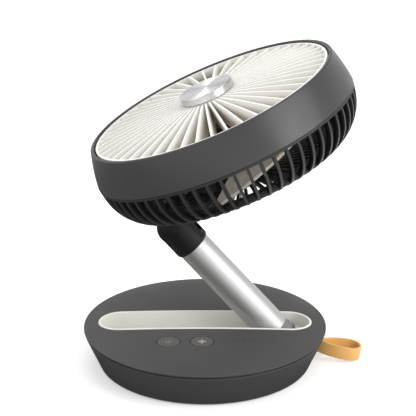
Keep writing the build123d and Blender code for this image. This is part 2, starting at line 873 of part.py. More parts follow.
def front_grille():
    """The white grille: swirled fins between a hub and a ring, crowned towards the hub."""
    ring_outer = grille_radius
    ring_inner = ring_outer - grille_ring_width
    outline = Circle(ring_outer) - Circle(ring_inner) + Circle(hub_radius - hub_edge)
    outline += around(fin_outline(), fin_count, fin_phase)
    low = -grille_recess - fin_depth
    grille = prism(outline, low, grille_crown)
    crown = ThreePointArc(
        (0, grille_crown), (ring_outer / 2, (3 * grille_crown - grille_recess) / 4), (ring_outer, -grille_recess)
    )
    under = Polyline(
        crown @ 1,
        (ring_outer, grille_ledge_top),
        (grille_ledge_radius - fit_gap, grille_ledge_top),
        (grille_ledge_radius - fit_gap, low),
        (0, low),
        crown @ 0,
    )
    grille = grille & turned(crown, under)
    socket = cylinder(hub_spigot_radius + fit_gap, grille_crown - hub_spigot_length - fit_gap, grille_crown)
    return head_frame.location * (grille - socket)


def hub_cap():
    """The metal cap in the middle of the front grille, on a narrower neck."""
    low = grille_crown + hub_gap
    cap = cylinder(hub_radius, low, low + hub_height)
    cap = fillet(cap.edges().group_by(Axis.Z)[-1], hub_edge)
    cap += cylinder(hub_neck_radius, grille_crown, low)
    return head_frame.location * (cap + cylinder(hub_spigot_radius, grille_crown - hub_spigot_length, grille_crown))


def basket_section(recess, root):
    """The basket's wall in section, behind its outside by a recess: from a radius on the back to the rim."""
    rib_top = basket_front - basket_rim_height / 2
    side = basket_radius - rib_inset - back_radius
    height = rib_top - back_face
    centre = (back_radius, rib_top)
    outer = EllipticalCenterArc(centre, side - recess, height - recess, start_angle=-90)
    inner = EllipticalCenterArc(centre, side - rib_depth, height - rib_depth, start_angle=-90)
    ends = [
        Line(outer @ 1, inner @ 1),
        Polyline(inner @ 0, (root, inner.position_at(0).Y), (root, outer.position_at(0).Y), outer @ 0),
    ]
    return make_face([outer, inner] + ends)


def basket_rib():
    """One rib of the rear grille: round the basket's side and along its back to the middle plate."""
    section = basket_section(0, back_plate_radius - rib_depth)
    return extrude(Plane.XZ * section, rib_thickness / 2, both=True)


def back_rim():
    """The ring at the turn of the basket's back, just behind the ribs' outside."""
    low = back_radius - back_rim_lip
    ring = revolve(Plane.XZ * basket_section(back_rim_recess, low), Axis.Z)
    return ring & cylinder(back_radius + back_rim_turn, back_face, basket_front)


def rear_grille():
    """The black basket: ribs between a rim and a back plate, with a spine that carries the neck."""
    rim_bottom = basket_front - basket_rim_height
    basket = tube(basket_radius, basket_radius - basket_rim_width, rim_bottom, basket_front)
    basket += cylinder(back_plate_radius, back_face, back_plate_top)
    basket += back_rim()
    spine_end = hinge_offset - flange_start + neck_screw_inset
    basket += block((-spine_end, 0), (-spine_width / 2, spine_width / 2), (back_face, back_plate_top))
    basket += around(basket_rib(), rib_count)
    screw_path = cylinder(screw_radius + fit_gap, rim_bottom, basket_front)
    basket -= around(Pos(head_boss_circle, 0, 0) * screw_path, head_boss_count, 180 / head_boss_count)
    neck_path = cylinder(screw_radius + fit_gap, back_face, back_plate_top)
    basket -= at_points(neck_path, [(x - hinge_offset, y, 0) for x, y, _ in neck_screw_places()])
    motor_path = cylinder(screw_radius + fit_gap, back_face, back_plate_top)
    motor_path += cylinder(screw_head_radius + fit_gap, back_face, back_face + screw_head_height)
    basket -= around(Pos(motor_screw_circle, 0, 0) * motor_path, 3)
    return head_frame.location * basket


def head_screws():
    """The screws that hold the rear grille to the shroud, driven from behind."""
    place = Pos(head_boss_circle, 0, basket_front - basket_rim_height) * Rot(180, 0, 0)
    screws = around(place * screw(head_screw_length), head_boss_count, 180 / head_boss_count)
    return head_frame.location * group(screws)


def motor_mount():
    """The plate and bearing tube that carry the motor on the back plate."""
    plate = cylinder(mount_radius, back_plate_top, mount_top)
    plate += cylinder(bearing_tube_radius, back_plate_top, bearing_tube_top)
    plate -= cylinder(bearing_radius + running_gap, back_plate_top + running_gap, bearing_tube_top)
    screw_bore = cylinder(screw_radius, back_plate_top, mount_top)
    return head_frame.location * (plate - around(Pos(motor_screw_circle, 0, 0) * screw_bore, 3))


def motor_screws():
    """The screws of the motor mount, driven from behind."""
    place = Pos(motor_screw_circle, 0, back_face + screw_head_height) * Rot(180, 0, 0)
    return head_frame.location * group(around(place * screw(motor_screw_length), 3))


def motor_board():
    """The ring-shaped drive board under the motor's coils."""
    board = tube(motor_board_radius, bearing_tube_radius + running_gap, mount_top, motor_board_top)
    head_room = cylinder(screw_radius + fit_gap, mount_top, motor_board_top)
    return head_frame.location * (board - around(Pos(motor_screw_circle, 0, 0) * head_room, 3))


def motor_stator():
    """The slotted iron core and coils round the bearing tube."""
    core = tube(stator_radius, bearing_tube_radius + running_gap, stator_bottom, stator_top)
    slot = block(
        (stator_radius - stator_slot_depth, stator_radius + stator_slot_depth),
        (-stator_slot_width / 2, stator_slot_width / 2),
        (stator_bottom, stator_top),
    )
    return head_frame.location * (core - around(slot, stator_slots))


def motor_bearings():
    """Two bearings at the ends of the bearing tube."""
    low = back_plate_top + 2 * running_gap
    rows = [low, bearing_tube_top - bearing_width]
    rings = [tube(bearing_radius, shaft_radius + running_gap, row, row + bearing_width) for row in rows]
    return head_frame.location * group(rings)


def motor_shaft():
    """The shaft that the rotor turns on."""
    return head_frame.location * cylinder(shaft_radius, back_plate_top + moving_gap, nut_top)


def rotor_can():
    """The cup round the coils that turns with the shaft."""
    can = cylinder(can_radius, can_bottom, can_top) - cylinder(can_inner_radius, can_bottom, can_ceiling)
    return head_frame.location * (can - cylinder(shaft_radius + running_gap / 2, can_ceiling, can_top))


def rotor_magnet():
    """The ring magnet inside the cup."""
    outer = can_inner_radius - running_gap
    return head_frame.location * tube(outer, outer - magnet_thickness, stator_bottom, stator_top)


def blade_section(radius, chord, pitch):
    """A thin strip across the blade at a distance from the fan's axis, turned by its pitch."""
    plane = Plane(origin=(radius, 0, blade_level), x_dir=(0, 1, 0), z_dir=(1, 0, 0))
    return plane * Rot(0, 0, pitch) * Rectangle(chord, blade_thickness)


def blade_outline():
    """The blade in plan, with rounded outer corners."""
    half = math.radians(blade_half_angle)
    tip = (blade_tip_radius * math.cos(half), blade_tip_radius * math.sin(half))
    root = (blade_hub_radius - blade_hub_wall / 2, blade_root_chord / 2)
    arc = ThreePointArc((tip[0], -tip[1]), (blade_tip_radius, 0), tip)
    sides = Polyline(tip, root, (root[0], -root[1]), (tip[0], -tip[1]))
    outline = make_face([arc, sides])
    return fillet(outline.vertices().sort_by(Axis.X)[-2:], blade_tip_corner)


def fan_blades():
    """The impeller: a hub cup over the rotor, and twisted blades with rounded tips."""
    inner = blade_hub_radius - blade_hub_wall
    hub = cylinder(blade_hub_radius, hub_bottom, hub_top) - cylinder(inner, hub_bottom, hub_top - blade_hub_wall)
    hub += cylinder(blade_hub_boss_radius, can_top, hub_top)
    hub -= cylinder(shaft_radius + running_gap / 2, can_top, hub_top)
    hub = fillet(hub.edges().group_by(Axis.Z)[-1].sort_by(SortBy.RADIUS)[-1], blade_hub_wall / 2)
    blade = loft(
        [
            blade_section(0, blade_root_chord, blade_root_pitch),
            blade_section(blade_hub_radius, blade_root_chord, blade_root_pitch),
            blade_section(blade_tip_radius, blade_tip_chord, blade_tip_pitch),
        ],
        ruled=True,
    )
    blade = blade & prism(blade_outline(), hub_bottom - blade_hub_height, hub_top + blade_hub_height)
    return head_frame.location * (hub + around(blade, blade_count, blade_phase))


def blade_nut():
    """The nut that holds the impeller on the shaft."""
    return head_frame.location * hexagon_nut(blade_nut_width, shaft_radius + running_gap / 2, hub_top, nut_top)


def push_button(x):
    """A round button, flush with the crowned cover, held below it by a flange and pressed by a stem."""
    cap = cylinder(button_radius, flange_top - button_flange_height, cover_height)
    cap += cylinder(button_flange_radius, flange_top - button_flange_height, flange_top)
    cap += cylinder(button_stem_radius, stem_bottom, flange_top)
    return (Pos(x, button_y, 0) * cap) & dome(0, floor_top)


def power_button():
    """The button that turns the fan on and off."""
    return push_button(power_button_x)


def speed_button():
    """The button that steps through the speeds."""
    return push_button(speed_button_x)


pieces = [
    base_lower_shell,
    base_top_cover,
    slot_liner,
    foot_pad,
    pivot_brackets,
    pivot_pin,
    pivot_nut,
    pivot_washers,
    battery_cells,
    battery_tray,
    control_board,
    board_screws,
    button_switches,
    status_leds,
    light_pipes,
    charge_board,
    charge_socket,
    base_screws,
    strap_loop,
    strap_clamp,
    arm_foot,
    arm_tube,
    arm_collar,
    arm_lead,
    tilt_pin_caps,
    tilt_pin,
    tilt_washers,
    neck_bracket,
    neck_screws,
    front_shroud,
    front_grille,
    hub_cap,
    rear_grille,
    head_screws,
    motor_mount,
    motor_screws,
    motor_board,
    motor_stator,
    motor_bearings,
    motor_shaft,
    rotor_can,
    rotor_magnet,
    fan_blades,
    blade_nut,
    power_button,
    speed_button,
]

os.makedirs("parts", exist_ok=True)
for make_piece in pieces:
    export_step(make_piece(), f"parts/{make_piece.__name__}.step")
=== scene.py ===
"""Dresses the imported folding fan: finishes, strap, printed signs, studio, lamps and camera."""

from __future__ import annotations

import json
import logging
import math
from dataclasses import dataclass, field
from enum import Enum
from typing import Any, Callable, Iterable, Sequence

import bpy
from mathutils import Matrix, Vector

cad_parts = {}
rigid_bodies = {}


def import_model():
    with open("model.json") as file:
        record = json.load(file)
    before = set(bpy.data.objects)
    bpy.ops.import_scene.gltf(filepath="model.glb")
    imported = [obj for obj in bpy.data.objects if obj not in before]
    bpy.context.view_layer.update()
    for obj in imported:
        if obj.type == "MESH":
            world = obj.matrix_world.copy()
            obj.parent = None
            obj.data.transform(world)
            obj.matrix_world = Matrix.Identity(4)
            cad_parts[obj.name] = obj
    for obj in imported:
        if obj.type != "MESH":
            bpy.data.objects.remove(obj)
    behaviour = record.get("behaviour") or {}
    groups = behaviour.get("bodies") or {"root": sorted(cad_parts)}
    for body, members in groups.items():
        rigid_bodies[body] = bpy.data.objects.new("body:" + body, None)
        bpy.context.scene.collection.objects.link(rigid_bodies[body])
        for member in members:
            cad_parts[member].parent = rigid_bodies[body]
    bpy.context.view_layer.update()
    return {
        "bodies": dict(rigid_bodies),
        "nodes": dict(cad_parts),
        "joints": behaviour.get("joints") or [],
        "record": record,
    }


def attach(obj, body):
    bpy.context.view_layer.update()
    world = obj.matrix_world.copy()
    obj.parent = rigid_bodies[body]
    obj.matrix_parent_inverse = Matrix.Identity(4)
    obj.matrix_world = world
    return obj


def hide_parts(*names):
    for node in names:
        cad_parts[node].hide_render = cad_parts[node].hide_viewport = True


Colour = tuple[float, float, float]
Point = tuple[float, float, float]
Nodes = dict[str, bpy.types.Object]

LOG = logging.getLogger("fan")
MM = 0.001
MERGE_DISTANCE = 0.001 * MM
SAME_PLACE = 0.01 * MM
UNSCALED: Point = (1.0, 1.0, 1.0)
# Most values of a noise texture lie between these two.
NOISE_LOW = 0.3
NOISE_HIGH = 0.7


def grey(value: float) -> Colour:
    """Gives a neutral colour."""
    return (value, value, value)


def shaded(colour: Colour, factor: float) -> Colour:
    """Gives a darker or lighter colour, up to white."""
    return tuple(min(1.0, value * factor) for value in colour)


@dataclass(frozen=True)
class Tone:
    """A socket's value, written in Python expressions that add Math nodes."""

    paint: "Paint"
    socket: bpy.types.NodeSocket

    def _math(self, operation: str, first: Any, second: Any = None) -> "Tone":
        """Adds one Math node.

        Args:
            operation: The Math node's operation.
            first: The first value or tone.
            second: The second value or tone, if the operation takes one.

        Returns:
            The node's result.
        """
        values = [first] if second is None else [first, second]
        return self.paint.node("ShaderNodeMath", {"operation": operation}, dict(enumerate(values)))

    def __add__(self, other: Any) -> "Tone":
        """Adds."""
        return self._math("ADD", self, other)

    __radd__ = __add__

    def __sub__(self, other: Any) -> "Tone":
        """Subtracts."""
        return self._math("SUBTRACT", self, other)

    def __rsub__(self, other: Any) -> "Tone":
        """Subtracts from a number."""
        return self._math("SUBTRACT", other, self)

    def __mul__(self, other: Any) -> "Tone":
        """Multiplies."""
        return self._math("MULTIPLY", self, other)

    __rmul__ = __mul__

    def __truediv__(self, other: Any) -> "Tone":
        """Divides."""
        return self._math("DIVIDE", self, other)

    def __pow__(self, other: Any) -> "Tone":
        """Raises to a power."""
        return self._math("POWER", self, other)

    def root(self) -> "Tone":
        """Takes the square root."""
        return self._math("SQRT", self)

    def most(self, other: Any) -> "Tone":
        """Takes the greater of two."""
        return self._math("MAXIMUM", self, other)

    def joined(self, share: float, other: "Tone") -> "Tone":
        """Adds a share of this tone to the rest of another."""
        return self * share + other * (1.0 - share)


@dataclass(frozen=True)
class Grain:
    """A noise: its repeats per metre, its octaves and how strong the finer octaves are."""

    scale: float
    detail: float = 2.0
    rough: float = 0.5


@dataclass(frozen=True)
class Relief:
    """A bump: how much of it shows, and its depth in metres."""

    strength: float
    depth: float


@dataclass(frozen=True)
class Axis:
    """A line that a finish is laid out on: a point of it and the turn that brings Z onto it."""

    centre: Point = (0.0, 0.0, 0.0)
    angles: Point = (0.0, 0.0, 0.0)

    @classmethod
    def of(cls, frame: Matrix) -> "Axis":
        """Takes the Z axis of a frame."""
        return cls(tuple(frame.translation), tuple(frame.to_euler()))


class Paint:
    """The node tree of one material or world, with one method that adds any node."""

    def __init__(self, owner: bpy.types.ID) -> None:
        """Starts with an empty tree.

        Args:
            owner: The material or world that is painted.
        """
        self.owner = owner
        owner.use_nodes = True
        self.tree = owner.node_tree
        self.tree.nodes.clear()

    @classmethod
    def of(cls, name: str) -> "Paint":
        """Starts a new material."""
        return cls(bpy.data.materials.new(name))

    def node(
        self, kind: str, settings: dict[str, Any], values: dict[Any, Any], out: Any = 0
    ) -> Tone:
        """Adds a node.

        Args:
            kind: The node's type.
            settings: Properties that are set before its sockets, a ramp's stops under "stops".
            values: Numbers, colours or tones for its input sockets, by name or index.
            out: The output socket to give back.

        Returns:
            The chosen output.
        """
        made = self.tree.nodes.new(kind)
        for key, value in settings.items():
            if key == "stops":
                self._stops(made.color_ramp, value)
            else:
                setattr(made, key, value)
        for key, value in values.items():
            socket = made.inputs[key]
            if isinstance(value, Tone):
                self.tree.links.new(value.socket, socket)
            else:
                socket.default_value = value
        return Tone(self, made.outputs[out])

    @staticmethod
    def _stops(ramp: bpy.types.ColorRamp, stops: Sequence[tuple[float, Colour]]) -> None:
        """Sets a colour ramp's stops.

        Args:
            ramp: The ramp.
            stops: Places and colours, in order.
        """
        while len(ramp.elements) < len(stops):
            ramp.elements.new(1.0)
        for element, (place, colour) in zip(ramp.elements, stops):
            element.position = place
            element.color = (*colour, 1.0)

    def place(self) -> Tone:
        """Gives the point's place on the object, in metres."""
        return self.node("ShaderNodeTexCoord", {}, {}, "Object")

    def turned(self, axis: Axis, scale: Point = UNSCALED) -> Tone:
        """Gives the point's place in a frame of its own.

        Args:
            axis: The frame's origin and turn.
            scale: The size of one unit along each of the frame's axes, as a divisor.

        Returns:
            The place as a vector.
        """
        values = {
            "Vector": self.place(),
            "Location": axis.centre,
            "Rotation": axis.angles,
            "Scale": scale,
        }
        return self.node("ShaderNodeMapping", {"vector_type": "TEXTURE"}, values)

    def polar(self, axis: Axis) -> tuple[Tone, Tone]:
        """Gives the point's distance from an axis and its height along it.

        Args:
            axis: The axis.

        Returns:
            The distance and the height, in metres.
        """
        local = self.turned(axis)
        x = self.part(local, "X")
        y = self.part(local, "Y")
        return (x * x + y * y).root(), self.part(local, "Z")

    def noise(self, where: Tone, grain: Grain, out: Any = 0) -> Tone:
        """Adds a noise texture.

        Args:
            where: The texture's coordinates.
            grain: How fine it is.
            out: The output socket to give back.

        Returns:
            The noise, from zero to one.
        """
        values = {
            "Vector": where,
            "Scale": grain.scale,
            "Detail": grain.detail,
            "Roughness": grain.rough,
        }
        return self.node("ShaderNodeTexNoise", {}, values, out)

    def cells(self, where: Tone, scale: float, feature: str = "F1") -> Tone:
        """Adds a cell texture and gives its distances.

        Args:
            where: The texture's coordinates.
            scale: Its repeats per metre.
            feature: Which distance is measured.

        Returns:
            The distance.
        """
        values = {"Vector": where, "Scale": scale}
        return self.node("ShaderNodeTexVoronoi", {"feature": feature}, values, "Distance")

    def part(self, vector: Tone, axis: str) -> Tone:
        """Takes one part of a vector."""
        return self.node("ShaderNodeSeparateXYZ", {}, {0: vector}, axis)

    def ramp(self, tone: Tone, stops: Sequence[tuple[float, Colour]]) -> Tone:
        """Turns a tone into colours."""
        return self.node("ShaderNodeValToRGB", {"stops": stops}, {0: tone}, "Color")

    def fade(
        self, tone: Tone, low: float, high: float, to_low: float = 0.0, to_high: float = 1.0
    ) -> Tone:
        """Maps a tone smoothly from one range to another.

        Args:
            tone: The tone.
            low: The value that becomes to_low.
            high: The value that becomes to_high.
            to_low: The result at low.
            to_high: The result at high.

        Returns:
            The mapped tone.
        """
        values = {
            "Value": tone,
            "From Min": low,
            "From Max": high,
            "To Min": to_low,
            "To Max": to_high,
        }
        return self.node("ShaderNodeMapRange", {"interpolation_type": "SMOOTHSTEP"}, values)

    def spread(self, noise: Tone, to_low: float = 0.0, to_high: float = 1.0) -> Tone:
        """Maps the middle of a noise, where most of its values lie, to a range."""
        return self.fade(noise, NOISE_LOW, NOISE_HIGH, to_low, to_high)

    def mix(self, share: Any, first: Any, second: Any) -> Tone:
        """Mixes two colours.

        Args:
            share: How much of the second colour shows.
            first: The first colour.
            second: The second colour.

        Returns:
            The mixed colour.
        """
        sides = [(*side, 1.0) if isinstance(side, tuple) else side for side in (first, second)]
        values = {0: share, 6: sides[0], 7: sides[1]}
        return self.node("ShaderNodeMix", {"data_type": "RGBA"}, values, 2)

    def bump(self, height: Tone, relief: Relief) -> Tone:
        """Turns a height into a normal.

        Args:
            height: The height, from zero to one.
            relief: How deep it is and how much of it shows.

        Returns:
            The bent normal.
        """
        values = {"Strength": relief.strength, "Distance": relief.depth, "Height": height}
        return self.node("ShaderNodeBump", {}, values)

    def close(self, **sockets: Any) -> bpy.types.Material:
        """Ends the tree in a Principled shader.

        Args:
            sockets: The shader's sockets, with underscores for spaces.

        Returns:
            The material.
        """
        values = {key.replace("_", " "): value for key, value in sockets.items()}
        for key, value in values.items():
            if isinstance(value, tuple) and len(value) == 3:
                values[key] = (*value, 1.0)
        self.end("ShaderNodeOutputMaterial", self.node("ShaderNodeBsdfPrincipled", {}, values))
        return self.owner

    def end(self, kind: str, shader: Tone) -> None:
        """Links a shader to the tree's output.

        Args:
            kind: The output node's type.
            shader: The shader.
        """
        output = self.tree.nodes.new(kind)
        self.tree.links.new(shader.socket, output.inputs["Surface"])

    def seen(self) -> Tone:
        """Finds the rays that show the surface: straight, in a reflection or through glass.

        Returns:
            One on these rays, and zero on others.
        """
        rays = ("Is Camera Ray", "Is Glossy Ray", "Is Transmission Ray")
        camera, glossy, through = [self.node("ShaderNodeLightPath", {}, {}, ray) for ray in rays]
        return camera.most(glossy).most(through)


@dataclass(frozen=True)
class Finish:
    """A finish that any part can take."""

    name: str
    colour: Colour
    roughness: float

    def material(self) -> bpy.types.Material:
        """Builds the finish's material."""
        raise NotImplementedError

    def sheen(self, paint: Paint, noise: Tone, change: tuple[float, float]) -> Tone:
        """Makes the roughness change with a noise.

        Args:
            paint: The material's tree.
            noise: The noise.
            change: How far the roughness goes down and up.

        Returns:
            The roughness.
        """
        down, up = change
        return paint.spread(noise, self.roughness - down, self.roughness + up)


@dataclass(frozen=True)
class MouldedPlastic(Finish):
    """Moulded plastic with a fine spark-eroded grain and a faint cloudiness."""

    shine: float = 0.3
    grain: Grain = Grain(2600.0, 3.0, 0.6)
    relief: Relief = Relief(0.35, 0.03 * MM)
    cloud: float = 0.06
    clouds: Grain = Grain(18.0, 3.0)
    change: tuple[float, float] = (0.08, 0.08)
    speck_low: float = 0.35
    speck_high: float = 0.65
    speck_share: float = 0.5

    def material(self) -> bpy.types.Material:
        """Builds the plastic's material.

        Returns:
            The material.
        """
        paint = Paint.of(self.name)
        where = paint.place()
        cloudy = paint.noise(where, self.clouds)
        fine = paint.noise(where, self.grain)
        dark = shaded(self.colour, 1.0 - self.cloud)
        light = shaded(self.colour, 1.0 + self.cloud)
        speckle = paint.fade(fine, self.speck_low, self.speck_high).joined(self.speck_share, cloudy)
        colour = paint.ramp(speckle, [(NOISE_LOW, dark), (NOISE_HIGH, light)])
        return paint.close(
            Base_Color=self.tint(paint, colour),
            Roughness=self.sheen(paint, cloudy, self.change),
            Specular_IOR_Level=self.shine,
            Normal=paint.bump(fine, self.relief),
        )

    def tint(self, paint: Paint, colour: Tone) -> Tone:
        """Changes the colour from place to place; plain plastic stays as it is.

        Args:
            paint: The material's tree.
            colour: The grained colour.

        Returns:
            The tinted colour.
        """
        return colour


@dataclass(frozen=True)
class VanePlastic(MouldedPlastic):
    """Moulded white of the front vanes, with painted shade: greyer on their crowned tops, and a
    sand-coloured painted shade deep between them.
    """

    axis: Axis = Axis()
    # Painted shade on the crowned tops: a greyer white, so that the tops, which face the lamps, look
    # no brighter than the vane sides.
    edge: Colour = (0.82, 0.81, 0.78)
    # Painted shade deep between the vanes, where little light reaches: a darker, sand-coloured
    # white.
    gap_shade: Colour = (0.6, 0.55, 0.46)
    radius: float = 90.2 * MM
    crown: float = 3.6 * MM
    recess: float = 1.0 * MM
    crown_shade_fade_start: float = 0.2 * MM
    crown_shade_fade_end: float = 0.9 * MM
    gap_shade_start: float = 1.5 * MM
    gap_shade_full: float = 8.0 * MM

    def tint(self, paint: Paint, colour: Tone) -> Tone:
        """Paints shade on the vanes: greys the colour near their crowned top, and darkens it to a
        warm sand further down, where less light reaches.

        Args:
            paint: The material's tree.
            colour: The grained colour.

        Returns:
            The tinted colour.
        """
        radius, height = paint.polar(self.axis)
        fall = (self.crown + self.recess) / self.radius**2
        depth = self.crown - radius * radius * fall - height
        # Painted shade: a sand colour deep between the vanes.
        wall = paint.mix(paint.fade(depth, self.gap_shade_start, self.gap_shade_full), colour, self.gap_shade)
        # Painted shade: a greyer white on the crowned tops.
        return paint.mix(paint.fade(depth, self.crown_shade_fade_start, self.crown_shade_fade_end), self.edge, wall)


@dataclass(frozen=True)
class RibPlastic(MouldedPlastic):
    """Moulded grey of the rear basket, with painted shade: black on the inner side of its rounded
    wall.
    """

    axis: Axis = Axis()
    # Painted shade: the black that stands for the dark inside of the basket, on the inner side of
    # its wall.
    inside: Colour = grey(0.006)
    flat_radius: float = 71.0 * MM
    turn_width: float = 28.3 * MM
    turn_top: float = -27.8 * MM
    turn_height: float = 32.7 * MM
    inner_share: float = 0.93
    outer_share: float = 0.985

    def tint(self, paint: Paint, colour: Tone) -> Tone:
        """Paints shade: blackens the colour inside the basket's wall, an ellipse from its side to
        its back.

        Args:
            paint: The material's tree.
            colour: The grained colour.

        Returns:
            The tinted colour.
        """
        radius, height = paint.polar(self.axis)
        across = (radius - self.flat_radius).most(0.0) / self.turn_width
        down = (height - self.turn_top) / self.turn_height
        share = (across * across + down * down).root()
        # Painted shade: black inside the basket's wall.
        return paint.mix(paint.fade(share, self.inner_share, self.outer_share), self.inside, colour)


@dataclass(frozen=True)
class RotorPlastic(MouldedPlastic):
    """Moulded plastic of the blades, a white darkened to warm grey as painted shade for the dark
    inside of the head, with a black hub.
    """

    axis: Axis = Axis()
    hub: Colour = grey(0.012)
    hub_radius: float = 24.0 * MM
    hub_blend: float = 0.4 * MM

    def tint(self, paint: Paint, colour: Tone) -> Tone:
        """Blackens the colour on the hub.

        Args:
            paint: The material's tree.
            colour: The grained colour.

        Returns:
            The tinted colour.
        """
        radius, _ = paint.polar(self.axis)
        share = paint.fade(radius, self.hub_radius, self.hub_radius + self.hub_blend)
        return paint.mix(share, self.hub, colour)


@dataclass(frozen=True)
class BrushedMetal(Finish):
    """Metal brushed along one direction, with streaks of changing shine."""

    axis: Axis = Axis()
    stretch: float = 80.0
    streaks: Grain = Grain(3600.0, 4.0, 0.7)
    broad_streaks: Grain = Grain(360.0)
    streak_shade: float = 0.95
    streak_share: float = 0.6
    change: tuple[float, float] = (0.04, 0.05)
    relief: Relief = Relief(0.12, 0.006 * MM)

    def material(self) -> bpy.types.Material:
        """Builds the metal's material.

        Returns:
            The material.
        """
        paint = Paint.of(self.name)
        along = paint.turned(self.axis, (1.0, 1.0, self.stretch))
        fine = paint.noise(along, self.streaks)
        broad = paint.noise(along, self.broad_streaks)
        dark = shaded(self.colour, self.streak_shade)
        return paint.close(
            Base_Color=paint.mix(paint.spread(fine), dark, self.colour),
            Metallic=1.0,
            Roughness=self.sheen(paint, fine.joined(self.streak_share, broad), self.change),
            Normal=paint.bump(fine, self.relief),
        )


@dataclass(frozen=True)
class SpunMetal(Finish):
    """Metal turned on a lathe: fine rings about an axis, which draw the lamps' light into a bow, and
    a painted bow-shaped highlight in its colour as well.
    """

    axis: Axis = Axis()
    stretch: float = 0.9
    stretch_turn: float = 0.25
    # Painted highlight: the colour is darkened by this share away from a bow across the hub, which
    # is kept bright.
    bow: float = 0.42
    highlight_bow_power: float = 2.0
    least: float = 1e-8
    rings: Grain = Grain(4200.0, 4.0, 0.75)
    broad_rings: Grain = Grain(500.0)
    ring_shade_share: float = 0.2
    ring_sheen_share: float = 0.6
    change: tuple[float, float] = (0.04, 0.05)
    relief: Relief = Relief(0.3, 0.01 * MM)

    def material(self) -> bpy.types.Material:
        """Builds the metal's material.

        Returns:
            The material.
        """
        paint = Paint.of(self.name)
        radius, height = paint.polar(self.axis)
        side = paint.part(paint.turned(self.axis), "Y")
        # A painted bow-shaped highlight: the colour is brightest along one line across the hub and
        # darker to either side.
        bow = (side * side / (radius * radius).most(self.least)) ** self.highlight_bow_power
        across = paint.node("ShaderNodeCombineXYZ", {}, {"X": radius, "Y": 0.0, "Z": height})
        rings = paint.noise(across, self.rings)
        broad = paint.noise(across, self.broad_rings)
        dark = shaded(self.colour, 1.0 - self.bow)
        light = paint.spread(rings).joined(self.ring_shade_share, bow)
        return paint.close(
            Base_Color=paint.mix(light, dark, self.colour),
            Metallic=1.0,
            Roughness=self.sheen(paint, rings.joined(self.ring_sheen_share, broad), self.change),
            Anisotropic=self.stretch,
            Anisotropic_Rotation=self.stretch_turn,
            Normal=paint.bump(rings, self.relief),
        )


@dataclass(frozen=True)
class SmoothLeather(Finish):
    """Vegetable-tanned leather: pores, fine creases and an uneven tan."""

    deep: Colour = (0.6, 0.28, 0.075)
    warp: Grain = Grain(240.0)
    warp_reach: float = 1.2 * MM
    pebbles: float = 1500.0
    pores: float = 2600.0
    clouds: Grain = Grain(90.0, 4.0, 0.6)
    cloud_end: float = 0.75
    cloud_shade: float = 0.25
    crease_width: float = 0.12
    crease_shade: float = 0.28
    crease_share: float = 0.7
    pore_width: float = 0.25
    change: tuple[float, float] = (0.07, 0.07)
    relief: Relief = Relief(0.5, 0.12 * MM)

    def material(self) -> bpy.types.Material:
        """Builds the leather's material.

        Returns:
            The material.
        """
        paint = Paint.of(self.name)
        where = paint.place()
        drift = paint.noise(where, self.warp, "Color")
        reach = (self.warp_reach, self.warp_reach, self.warp_reach)
        settings = {"operation": "MULTIPLY_ADD"}
        warped = paint.node("ShaderNodeVectorMath", settings, {0: drift, 1: reach, 2: where})
        pebbles = paint.cells(warped, self.pebbles, "DISTANCE_TO_EDGE")
        pores = paint.fade(paint.cells(where, self.pores), 0.0, self.pore_width)
        cloudy = paint.noise(where, self.clouds)
        crease = paint.fade(pebbles, 0.0, self.crease_width)
        patches = paint.fade(cloudy, NOISE_LOW, self.cloud_end, self.cloud_shade, 0.0)
        colour = paint.mix(patches, self.colour, self.deep)
        return paint.close(
            Base_Color=paint.mix((1.0 - crease) * self.crease_shade, colour, self.deep),
            Roughness=self.sheen(paint, cloudy, self.change),
            Normal=paint.bump(crease.joined(self.crease_share, pores), self.relief),
        )


@dataclass(frozen=True)
class PlainMetal(Finish):
    """Bare machined or pressed steel, lightly uneven."""

    grain: Grain = Grain(1800.0, 3.0)
    grain_shade: float = 0.85
    change: tuple[float, float] = (0.08, 0.08)

    def material(self) -> bpy.types.Material:
        """Builds the steel's material.

        Returns:
            The material.
        """
        paint = Paint.of(self.name)
        fine = paint.noise(paint.place(), self.grain)
        return paint.close(
            Base_Color=paint.mix(fine, shaded(self.colour, self.grain_shade), self.colour),
            Metallic=1.0,
            Roughness=self.sheen(paint, fine, self.change),
        )


@dataclass(frozen=True)
class CircuitBoard(Finish):
    """Lacquered circuit board with a weave below the lacquer."""

    weave: float = 1600.0
    weave_share: float = 0.2
    tracks: float = 320.0
    track_share: float = 0.7
    track_start: float = 0.02
    track_full: float = 0.08
    track_light: float = 1.5
    change: tuple[float, float] = (0.05, 0.07)

    def material(self) -> bpy.types.Material:
        """Builds the board's material.

        Returns:
            The material.
        """
        paint = Paint.of(self.name)
        where = paint.place()
        checks = {"Vector": where, "Scale": self.weave}
        weave = paint.node("ShaderNodeTexChecker", {}, checks, "Fac")
        edges = paint.cells(where, self.tracks, "DISTANCE_TO_EDGE")
        tracks = paint.fade(edges, self.track_start, self.track_full)
        light = shaded(self.colour, self.track_light)
        share = tracks * self.track_share + weave * self.weave_share
        down, up = self.change
        return paint.close(
            Base_Color=paint.mix(share, light, self.colour),
            Roughness=paint.fade(tracks, 0.0, 1.0, self.roughness - down, self.roughness + up),
        )


